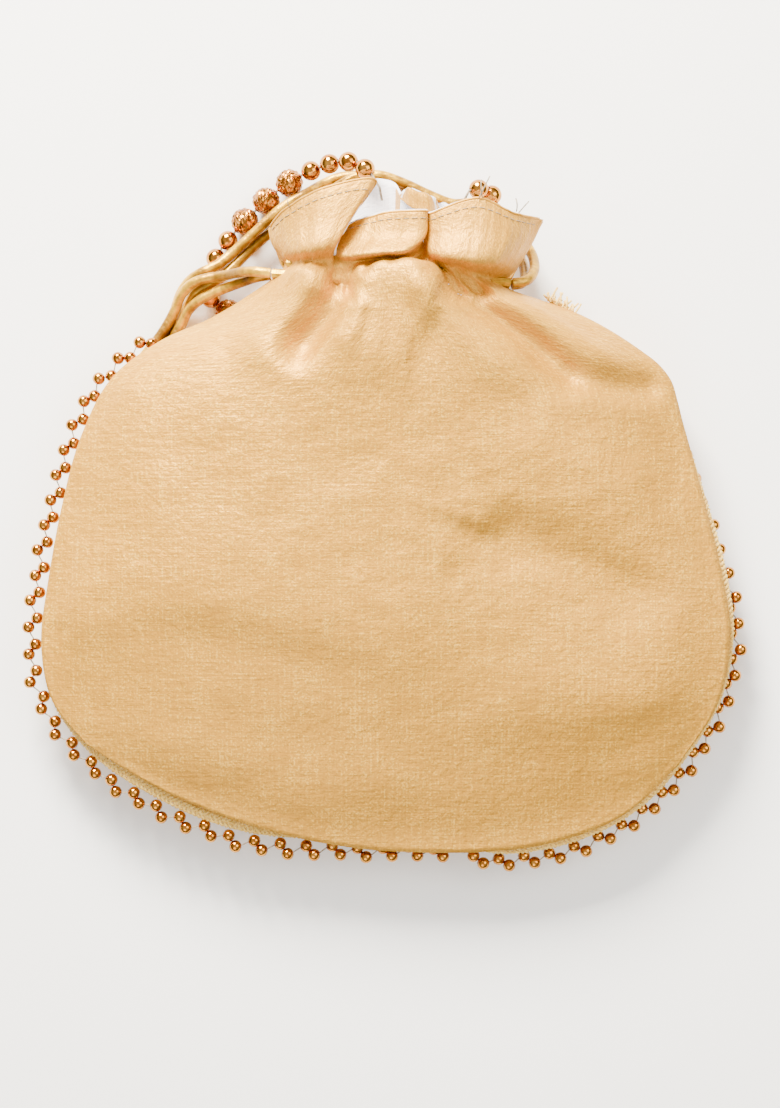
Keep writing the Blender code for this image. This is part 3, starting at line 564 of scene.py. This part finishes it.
# each fold: its line, depth at its two ends, and how wide its two banks are
FOLDS = [([(-14.2, 79), (-14, 72), (-20, 63), (-26, 56), (-33, 48)], -6.5, -7.5, 5, 6.5),
         ([(-20, 80), (-27, 70), (-36, 59), (-48, 48)], 2.6, 1.4, 6, 9),
         ([(-32, 76), (-42, 62), (-58, 48)], -1.6, -0.5, 6, 6),
         ([(18, 82), (24.5, 74), (37, 64), (48.5, 56), (57, 47), (63, 38)], -5.5, -6, 5, 5),
         ([(60, 47), (76, 43.5), (98, 46)], -3.4, -3, 5.5, 4.5),
         ([(38, 74), (52, 64), (68, 55), (84, 51)], 3.4, 2.4, 5, 6),
         ([(14, 74), (24, 62), (36, 50), (48, 36)], 3.2, 0.8, 8, 7),
         ([(-8, 76), (-12, 64), (-18, 52)], 2.2, 1.2, 6, 4),
         ([(-11.5, 84.6), (-14.2, 68)], 2.2, 2.0, 1.6, 1.6),
         ([(-9.4, 82.5), (-12.2, 69)], -2.8, -2.0, 1.5, 1.5),
         ([(-6.5, 83), (-10.6, 75)], 2.4, 1.0, 1.5, 1.5),
         ([(-3.6, 83.5), (-7.6, 77.6)], -3.4, -1.4, 1.4, 1.4),
         ([(0.4, 84), (-3.6, 80)], 1.2, 0.5, 1.4, 1.4),
         ([(4, 84.5), (0.6, 81.4)], -1.5, -0.6, 1.4, 1.4),
         ([(16.6, 84), (21.4, 76.5), (28, 70)], -3.0, -2.4, 1.6, 1.6),
         ([(19.6, 83.4), (24.6, 75.8), (30.4, 70.6)], 2.6, 1.8, 1.5, 1.5),
         ([(22.6, 83), (28, 76.8), (35.4, 70.4)], -3.0, -2.2, 1.5, 1.5),
         ([(26.5, 82), (31.6, 76.8), (37, 72.4)], 2.4, 1.4, 1.5, 1.5),
         ([(30.4, 81), (34.6, 77)], -1.7, -0.8, 1.3, 1.3),
         ([(40, -4), (54, -9), (72, -17), (96, -30)], -3.4, -2.6, 8, 15),
         ([(34, -58), (60, -60), (84, -54), (100, -46)], 1.2, 2.2, 16, 9),
         ([(-4, 60), (6, 66), (18, 62)], 2.8, 2.8, 16, 16),
         ([(50, 24), (70, 16), (92, 8)], 1.4, 1.2, 10, 12),
         ([(-96, 22), (-99, 0), (-101, -25), (-101, -48)], -0.9, -0.9, 2.0, 5),
         ([(-84, 40), (-74, 20), (-72, -10)], 1.3, 0.6, 10, 12),
         ([(-96, -30), (-60, -22), (-22, -30), (16, -44), (40, -40)], 2.8, 1.8, 26, 10),
         ([(-60, -70), (-20, -82), (30, -84)], 1.0, 0.8, 10, 12)]


def folded(grid, a, v):
    """The body's folds and soft dents, pressed into the panel from above."""
    x, y = grid[..., 0], grid[..., 1]
    keep = (ease(a / 0.05) * ease((1 - a) / 0.05))[None, :] * ease(v / 0.06)[:, None]
    keep = keep * ease((NECK_SHARE - v) / 0.07)[:, None]
    lift = np.zeros(x.shape)
    for line, start, end, one, other in FOLDS:
        away, along, side = near_line(x, y, line)
        width = np.where(side > 0, one, other)
        lift += (start + (end - start) * along) * ease((1 - along) / 0.35) * np.exp(-(away / width) ** 2)
    height = grid[..., 2] + lift * keep
    clear = NECK_Z + 10.9 * np.clip(1 - np.abs(2 * a - 1)[None, :] ** 3, 0, 1) ** 0.8
    near_cords = np.abs(y - 78.6 + 0.09 * (x - 3.5)) < 3.4
    return np.where(near_cords, np.maximum(height, np.minimum(clear, grid[..., 2])), height) - grid[..., 2]


def fine_creases(grid, a, v, depth):
    """Small puckers of crisp silk: short, mostly across the cloth in the middle, up it at the gathers."""
    rows, columns = grid.shape[:2]
    lift = np.zeros((rows, columns))
    for r in range(rows):
        gathered = float(ease((v[r] - 0.55) / 0.4))
        for c in range(columns):
            x, y = grid[r, c, 0], grid[r, c, 1]
            broad = noise.noise(Vector((x / 26, y / 20, 3.1)))
            middle = noise.noise(Vector((x / 9, y / 5.5, 7.7)))
            pleat = noise.noise(Vector((a[c] * 34, y / 30, 1.3)))
            small = noise.noise(Vector((x / 3.6, y / 2.6, 5.2)))
            rough = math.exp(-((x - 14) / 62) ** 2 - ((y - 4) / 42) ** 2)
            lift[r, c] = (0.6 * broad + (1 - gathered) * (0.16 + 0.4 * rough) * middle
                          + gathered * 0.55 * pleat + (0.05 + 0.12 * rough) * small)
    keep = (ease(a / 0.03) * ease((1 - a) / 0.03))[None, :] * ease(v / 0.03)[:, None]
    return lift * keep * depth


BODY_NET = 26
body_v = np.linspace(0, BODY_TOP, BODY_NET + 1)
share = np.array(PLEATS)
top_rows = [BELOW_NECK, AT_NECK, LOW_COLLAR, MID_COLLAR, NEAR_RIM]
back_net = [body_points(share, np.full(len(share), v), 1) for v in body_v]
back_net += [np.array(row, float) for row in top_rows]
# fine steps in each step of the nets
ROW_SPLIT, COLLAR_SPLIT, PLEAT_SPLIT, FRONT_SPLIT = 4, [9, 9, 9, 10, 10], 14, 5
row_steps = [ROW_SPLIT] * BODY_NET + COLLAR_SPLIT
column_steps = [PLEAT_SPLIT] * (len(PLEATS) - 1)
fine_v = np.concatenate([np.linspace(0, BODY_TOP, ROW_SPLIT * BODY_NET + 1)[:-1],
                         BODY_TOP + (CLOTH_TOP - BODY_TOP) * np.linspace(0, 1, sum(COLLAR_SPLIT) + 1)])
fine_a = np.concatenate([np.linspace(p, q, PLEAT_SPLIT + 1)[:-1] for p, q in zip(share, share[1:])] + [[1.0]])
back = weave_grid(back_net, row_steps, column_steps)
back[..., 2] += folded(back, fine_a, fine_v)
back += grid_normals(back, 1) * fine_creases(back, fine_a, fine_v, 1.0)[..., None]
back_uv = cloth_coordinates(back, fine_a, fine_v)

# dupion: low-twist filaments, so bright and soft at once. Weft slubs run 14 mm and are 0.7 mm wide,
# warp ribs run 22 mm and are 0.8 mm wide, mottling is 11 mm, grain 0.7 mm and crinkle 2.4 mm across
silk, tree, shader = new_material("slubbed_dupion_silk", 0.5)
cloth = add_node(tree, "ShaderNodeTexCoord").outputs["UV"]
weft = add_node(tree, "ShaderNodeMapping", Vector=cloth, Scale=(70, 1500, 1))
slub = add_node(tree, "ShaderNodeTexNoise", Vector=weft.outputs[0], Scale=1.0, Detail=3.0, Roughness=0.6)
warp = add_node(tree, "ShaderNodeMapping", Vector=cloth, Scale=(1300, 45, 1))
rib = add_node(tree, "ShaderNodeTexNoise", Vector=warp.outputs[0], Scale=1.0, Detail=2.0)
mottle = add_node(tree, "ShaderNodeTexNoise", Vector=cloth, Scale=90.0, Detail=5.0, Roughness=0.7)
grain = add_node(tree, "ShaderNodeTexNoise", Vector=cloth, Scale=1400.0, Detail=2.0)
mottled = add_node(tree, "ShaderNodeMath", {"operation": "MULTIPLY_ADD"}, _0=mottle.outputs["Fac"], _1=0.16,
                   _2=0.42)
slubbed = add_node(tree, "ShaderNodeMath", {"operation": "MULTIPLY_ADD"}, _0=slub.outputs["Fac"], _1=0.22,
                   _2=mottled.outputs[0])
ribbed = add_node(tree, "ShaderNodeMath", {"operation": "MULTIPLY_ADD"}, _0=rib.outputs["Fac"], _1=0.2,
                  _2=slubbed.outputs[0])
grained = add_node(tree, "ShaderNodeMath", {"operation": "MULTIPLY_ADD"}, _0=grain.outputs["Fac"], _1=0.42,
                   _2=ribbed.outputs[0])
colour = colour_steps(tree, grained.outputs[0], (0.7, "#B07610"), (0.95, "#C68E1E"), (1.2, "#DEAA3C"))
tree.links.new(colour, shader.inputs["Base Color"])
shader.inputs["Sheen Weight"].default_value = 0.06
shader.inputs["Sheen Roughness"].default_value = 0.4
shader.inputs["Sheen Tint"].default_value = srgb("#FFDC8C")
shader.inputs["Metallic"].default_value = 0.42
crinkle = add_node(tree, "ShaderNodeTexNoise", Vector=cloth, Scale=420.0, Detail=3.0, Roughness=0.6)
relief = add_node(tree, "ShaderNodeMath", {"operation": "MULTIPLY_ADD"}, _0=crinkle.outputs["Fac"], _1=3.4,
                  _2=slub.outputs["Fac"])
bump = add_node(tree, "ShaderNodeBump", Height=relief.outputs[0], Strength=0.5, Distance=0.0003)
tree.links.new(bump.outputs[0], shader.inputs["Normal"])


def finish_cloth(piece, material, slot, *nodes):
    """A cloth's finish, its body and the nodes that it stands for."""
    piece.data.materials.append(material)
    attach(piece, "root")
    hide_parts(*nodes)
    return piece


back_piece = finish_cloth(cloth_mesh("back_panel_silk", back, 1, SILK, back_uv), silk, "silk", "back_panel")

# the front panel, on which the pouch lies: the same cut with smaller, even gathers
MOUTH_SHARES = (0.47, 0.485, 0.51, 0.53, 0.56, 0.61, 0.625, 0.655)     # closer lines at the turned corner
front_share = np.unique(np.concatenate((np.linspace(0, 1, 23), MOUTH_SHARES)))
front_rows = [body_points(front_share, np.full(len(front_share), v), -1) for v in body_v]
rim = smooth_line([(x, y, 0) for x, y in FAR_RIM], count=201)[np.rint(front_share * 200).astype(int)]
u = 2 * front_share - 1
for w, lift in ((0.0, 0.0), (0.22, 0.0), (0.5, 0.35), (0.75, 0.75), (1.0, 1.0)):
    low = np.column_stack((-31.6 + 70.1 * front_share, 79.5 - 5.4 * front_share, np.zeros(len(u))))
    p = low * (1 - w) + rim * w
    half = 11.6 + 1.2 * lift
    ripple = (0.5 + 0.9 * lift) * np.cos(9 * math.pi * front_share) * (1 - u * u)
    p[:, 2] = NECK_Z - 0.6 - (half - 0.6) * (1 - np.abs(u) ** 3) ** 0.8 - ripple
    turned = np.exp(-((p[:, 0] - 11.4) / 6.2) ** 8)         # a corner of the rim turned back over
    p[:, 1] += turned * (6.4 if w == 0.75 else -7.4 if w == 1.0 else 0)
    p[:, 2] += turned * (20 if w == 0.75 else 22 if w == 1.0 else 4 if w == 0.5 else 0)
    front_rows.append(p)
front = weave_grid(front_rows, row_steps, [FRONT_SPLIT] * (len(front_share) - 1))
front_a = np.interp(np.arange(front.shape[1]) / FRONT_SPLIT, np.arange(len(front_share)), front_share)
wave = fine_creases(front, front_a, fine_v, 0.7)
wave = np.where(front[..., 2] < 1.2, 0, wave)
front += grid_normals(front, -1) * wave[..., None]
front[..., 2] = np.maximum(front[..., 2], 0)
front_uv = cloth_coordinates(front, front_a, fine_v)
front_piece = finish_cloth(cloth_mesh("front_panel_silk", front, -1, SILK, front_uv), silk, "silk",
                           "front_panel")

# ---- lining ----------------------------------------------------------------------------------
# Plain white cotton, cut like the silk and sewn to it at the rim. It hangs 1.4 mm inside. Its
# threads show as streaks 0.6 mm wide and 8 mm long, both ways.
cotton, tree, shader = new_material("plain_weave_cotton", 0.85)
cloth = add_node(tree, "ShaderNodeTexCoord").outputs["UV"]
warp = add_node(tree, "ShaderNodeMapping", Vector=cloth, Scale=(1800, 120, 1))
weft = add_node(tree, "ShaderNodeMapping", Vector=cloth, Scale=(120, 1800, 1))
warp_noise = add_node(tree, "ShaderNodeTexNoise", Vector=warp.outputs[0], Scale=1.0, Detail=1.0)
weft_noise = add_node(tree, "ShaderNodeTexNoise", Vector=weft.outputs[0], Scale=1.0, Detail=1.0)
woven = add_node(tree, "ShaderNodeMath", {"operation": "ADD"}, _0=warp_noise.outputs["Fac"],
                 _1=weft_noise.outputs["Fac"])
tree.links.new(colour_steps(tree, woven.outputs[0], (0.6, "#D4D3DE"), (1.0, "#F1F0F6")),
               shader.inputs["Base Color"])
shader.inputs["Sheen Weight"].default_value = 0.15
bump = add_node(tree, "ShaderNodeBump", Height=woven.outputs[0], Strength=0.4, Distance=0.0004)
tree.links.new(bump.outputs[0], shader.inputs["Normal"])


LINING_GAP = 1.4


def lining_points(outer, a, v, side):
    """The silk's points moved inside it, and drawn in further at the neck to clear the cords."""
    keep = (ease(a / 0.04) * ease((1 - a) / 0.04))[None, :] * ease(v / 0.04)[:, None]
    p = outer.copy()
    p[..., 2] -= LINING_GAP * keep * np.clip(1.5 * grid_normals(outer, side)[..., 2], -1, 1)
    tight = np.exp(-((v - NECK_SHARE) / 0.05) ** 2)[:, None]
    u = 2 * a[None, :] - 1
    inside = NECK_Z + side * (0.5 + 5.0 * (1 - np.abs(u) ** 3) ** 0.8)
    p[..., 0] = 3.4 + (p[..., 0] - 3.4) * (1 - 0.13 * tight)
    p[..., 2] = p[..., 2] * (1 - tight) + inside * tight
    p[..., 1] += 1.5 * ease((v - 1.28) / 0.07)[:, None]
    return p


for name, outer, a, side in (("back", back, fine_a, 1), ("front", front, front_a, -1)):
    grid = lining_points(outer[::2, ::2], a[::2], fine_v[::2], side)[1:, 1:-1]      # stops inside the seam
    piece = cloth_mesh(f"{name}_lining_cotton", grid, side, LINING,
                       cloth_coordinates(grid, a[::2][1:-1], fine_v[::2][1:]))
    finish_cloth(piece, cotton, "lining", f"{name}_lining")

# ---- braid and beaded edge -------------------------------------------------------------------
# A flat braid of pale yellow yarn is sewn under the seam, joined at the bottom. Along its outer
# edge a thread carries pairs of 4 mm gold beads, one against the braid and one further out.
EDGE_BEAD, BEAD_PITCH = 4.1, 8.0
EDGING_OUT = [(0, -2), (0.12, -1), (0.2, 0), (0.3, 0.4), (0.36, 3), (0.42, 2.6), (0.47, -1.5), (0.53, -3),
              (0.56, 1.5), (0.62, 2.2), (0.7, 1.2), (0.8, 0.4), (0.88, -1.5), (1, -4)]
EDGING_START, EDGING_JOIN, EDGING_END = 0.07, 0.535, 0.91
BEAD_TUCK = [(0, 0), (0.54, 0), (0.58, 1.5), (0.775, 2.2), (0.82, 4.8), (1, 6)]     # drawn in under the braid
BRAID_DRIFT = [(0.54, 0), (0.58, -0.9), (0.7, -0.6), (0.79, 1.2), (0.87, 1.2), (0.91, 0)]
BRAID_STEP, BRAID_TURN, BRAID_SWING, STRAND = 0.7, 4.6, 1.4, 1.24
seam_points = smooth_line([(x, y, 0) for x, y in LEFT_EDGE + BOTTOM_EDGE[1:] + RIGHT_EDGE[1:]], count=2400)
SEAM_LENGTH = line_length(seam_points)
graph = bmesh.new()
graph.from_mesh(front_piece.data)
under = BVHTree.FromBMesh(graph)
graph.free()


def by_seam(fraction, out, below, room):
    """A place beside the seam: out past it, below it and clear of the silk above."""
    at = min(max(fraction, 0), 1) * (len(seam_points) - 1)
    k = min(max(int(at), 1), len(seam_points) - 2)
    p = seam_points[k] + (seam_points[k + 1] - seam_points[k]) * (at - k)
    along = seam_points[k + 1] - seam_points[k - 1]
    along /= np.linalg.norm(along)
    height = SEAM_Z + (NECK_Z - SEAM_Z) * max(1 - 6 * min(fraction, 1 - fraction), 0) ** 2
    place = np.array((p[0] + along[1] * out, p[1] - along[0] * out, height - below))
    for shift in (-room, 0, room):
        probe = metres((place[0] + along[1] * shift, place[1] - along[0] * shift, -10))
        hit = under.ray_cast(Vector(probe), Vector((0, 0, 1)))[0]
        if hit:
            place[2] = min(place[2], hit.z * 1000 - room - 0.3)
    return place


# yarn: a soft lustre, with fibres about 0.6 mm apart
yarn, tree, shader = new_material("mercerised_yarn", 0.6)
place = add_node(tree, "ShaderNodeTexCoord").outputs["Object"]
fibre = add_node(tree, "ShaderNodeTexNoise", Vector=place, Scale=1600.0, Detail=2.0)
tree.links.new(colour_steps(tree, fibre.outputs["Fac"], (0.3, "#C99A30"), (0.7, "#F6D472")),
               shader.inputs["Base Color"])
bump = add_node(tree, "ShaderNodeBump", Height=fibre.outputs["Fac"], Strength=0.6, Distance=0.0003)
tree.links.new(bump.outputs[0], shader.inputs["Normal"])

bead_small = bead_form(EDGE_BEAD, 0.8, 16, 10, 0)
SPANS = [("left", EDGING_START, EDGING_JOIN - 0.004), ("right", EDGING_JOIN + 0.004, EDGING_END)]
for name, start, end in SPANS:
    stations = int((end - start) * SEAM_LENGTH / BRAID_STEP)
    centre_line = []
    for i in range(stations + 1):
        s = start + (end - start) * i / stations
        out = float(table_value(EDGING_OUT, s)) + float(np.interp(s, *zip(*BRAID_DRIFT))) - 1.5
        level = min(by_seam(s, out + side, 2.6, 0.9)[2] for side in (-1.8, 0, 1.8))
        centre_line.append((s, out, level))
    strands = []
    for k in range(3):
        strand = []
        for i, (s, out, level) in enumerate(centre_line):
            phase = i * BRAID_STEP / BRAID_TURN * 2 * math.pi + k * 2 * math.pi / 3
            p = by_seam(s, out + BRAID_SWING * math.sin(phase), 0, 0.0)
            strand.append((p[0], p[1], level + 0.32 * math.sin(2 * phase)))
        strands.append(metres(strand))
    braid_mesh = tube_mesh(strands, STRAND / 2 * 0.001, 6, name=f"braid_{name}")
    add_piece(f"braid_{name}_plaited", braid_mesh, yarn, "braid", f"braid_{name}")
    count = int((end - start) * SEAM_LENGTH / BEAD_PITCH)
    centres = []
    for i in range(count):
        s = start + (end - start) * (i + 0.5) / count
        wander = 0.25 * math.sin(i * 2.4) + 0.2 * math.sin(i * 5.1)
        out = float(table_value(EDGING_OUT, s)) + wander
        tuck = float(np.interp(s, *zip(*BEAD_TUCK)))
        level = min(by_seam(s, out - width, 2.6, 0.75)[2] for width in (0, 1.9, 3.8))
        for at, far, below in ((s, 2.4, 3.2), (s + 3.0 / SEAM_LENGTH, 4.95 + 0.2 * math.sin(i * 3.7), 3.6)):
            centre = by_seam(at, out + far - tuck, below, EDGE_BEAD / 2)
            if tuck > 0.1:
                centre[2] = min(centre[2], level - (EDGE_BEAD / 2 + 1.5) * min(tuck, 1))
            centres.append(centre)
    centres = np.array(centres)
    axes = np.gradient(centres, axis=0)
    places = list(zip(metres(centres), axes))
    beads_mesh = join_copies(f"edge_beads_{name}", bead_small, places, 0.4)
    add_piece(f"edge_beads_{name}_strung", beads_mesh, gold, "gold_bead", f"edge_beads_{name}")
    bead_thread = tube_mesh([metres(smooth_line(centres, step=0.8))], 0.00022, 6, name=f"edge_thread_{name}")
    add_piece(f"edge_thread_{name}", bead_thread, nylon, "thread")

# ---- rim hem ----------------------------------------------------------------------------------
# Silk and lining are bagged out at the rim: a soft rolled edge with a row of 1.8 mm stitches
# in grey thread a little below it.
hem_line = metres(smooth_line(back[-1, 2:-2] + (0, 0, -0.2), step=0.8))
add_piece("rim_hem_rolled", tube_mesh([hem_line], 0.00042, 8, name="rim_hem_rolled"), silk, "silk")
stitches = []
row = back[-4, 3:-3] + grid_normals(back, 1)[-4, 3:-3] * 0.12
dense = smooth_line(row, step=0.45)
for i in range(0, len(dense) - 5, 6):
    stitches.append(metres(dense[i:i + 5]))
add_piece("rim_stitches", tube_mesh(stitches, 0.00014, 5, name="rim_stitches"), nylon, "thread")

# ---- frayed ends -----------------------------------------------------------------------------
# Loose filaments at the rim's cut edge and a tuft of yarn where the braid ends on the shoulder.
# each hair: where it starts, its lean and its reach
HAIRS = [(29.8, 102, 40, 0.5, 7), (31, 102.4, 40, -0.25, 5.5), (41.8, 98.4, 37, 0.2, 4),
         (42.6, 98.2, 36, 0.9, 3.4), (-29.5, 100, 33, -0.6, 2.6)]
hairs = []
for i, (x, y, z, lean, size) in enumerate(HAIRS):
    t = np.linspace(0, 1, 9)
    bend = 1.2 * math.sin(i * 2.1)
    across = x + lean * size * t + bend * t * t
    hairs.append(metres(np.column_stack((across, y + size * t, z + 1.5 * np.sin(2.4 * t)))))
add_piece("rim_frays", tube_mesh(hairs, 0.0002, 5, name="rim_frays"), nylon, "thread")
tuft = []
for i in range(30):
    t = np.linspace(0, 1, 8)
    reach = 2.6 + 2.4 * math.sin(i * 1.7) ** 2
    turn = i * 0.9
    tuft.append(metres(np.column_stack((52.5 + 0.28 * i + reach * np.sin(turn) * t * 0.7,
                                        71.6 - 0.16 * i + reach * t * (0.7 + 0.3 * math.cos(turn)),
                                        22 + 1.2 * np.sin(3 * t + turn)))))
add_piece("shoulder_tuft", tube_mesh(tuft, 0.00035, 5, name="shoulder_tuft"), yarn, "braid")

# ---- floor and light -------------------------------------------------------------------------
# A plain pale floor, its clouding 250 mm across, and large soft lamps, the strongest from beyond
# the mouth.
bpy.ops.object.select_all(action="DESELECT")
bpy.ops.mesh.primitive_plane_add(size=6, location=(0, 0, -0.0002))
floor = bpy.context.object
bpy.ops.object.transform_apply(location=True, rotation=True, scale=True)
floor.name = "floor"
paint, tree, shader = new_material("matt_white_paint", 0.9)
place = add_node(tree, "ShaderNodeTexCoord").outputs["Object"]
speck = add_node(tree, "ShaderNodeTexNoise", Vector=place, Scale=4.0)
tree.links.new(colour_steps(tree, speck.outputs["Fac"], (0.0, "#FBFBFB"), (1.0, "#FFFFFF")),
               shader.inputs["Base Color"])
shader.inputs["Specular IOR Level"].default_value = 0.1
floor.data.materials.append(paint)

for name, place, size, power in (("key", (-0.32, 1.0, 0.62), 0.5, 115), ("fill", (0.8, 0.3, 1.1), 0.8, 14),
                                 ("front", (-0.3, -0.9, 1.1), 0.9, 11)):
    lamp = bpy.data.lights.new(name, "AREA")
    lamp.energy = power
    lamp.color = srgb("#FFF8EA")[:3]
    lamp.size = size
    light = bpy.data.objects.new(name, lamp)
    bpy.context.scene.collection.objects.link(light)
    light.location = place
    light.rotation_euler = (Vector((0, 0, 0.02)) - Vector(place)).to_track_quat("-Z", "Y").to_euler()
world = bpy.data.worlds.new("studio")
world.use_nodes = True
tree = world.node_tree
outward = add_node(tree, "ShaderNodeTexCoord").outputs["Generated"]
direction = add_node(tree, "ShaderNodeSeparateXYZ", Vector=outward)
sky = colour_steps(tree, direction.outputs["Z"], (0.0, "#3A3A3E"), (0.35, "#8F9094"), (0.8, "#FFFFFF"))
tree.links.new(sky, tree.nodes["Background"].inputs["Color"])
tree.nodes["Background"].inputs["Strength"].default_value = 1.1
bpy.context.scene.world = world
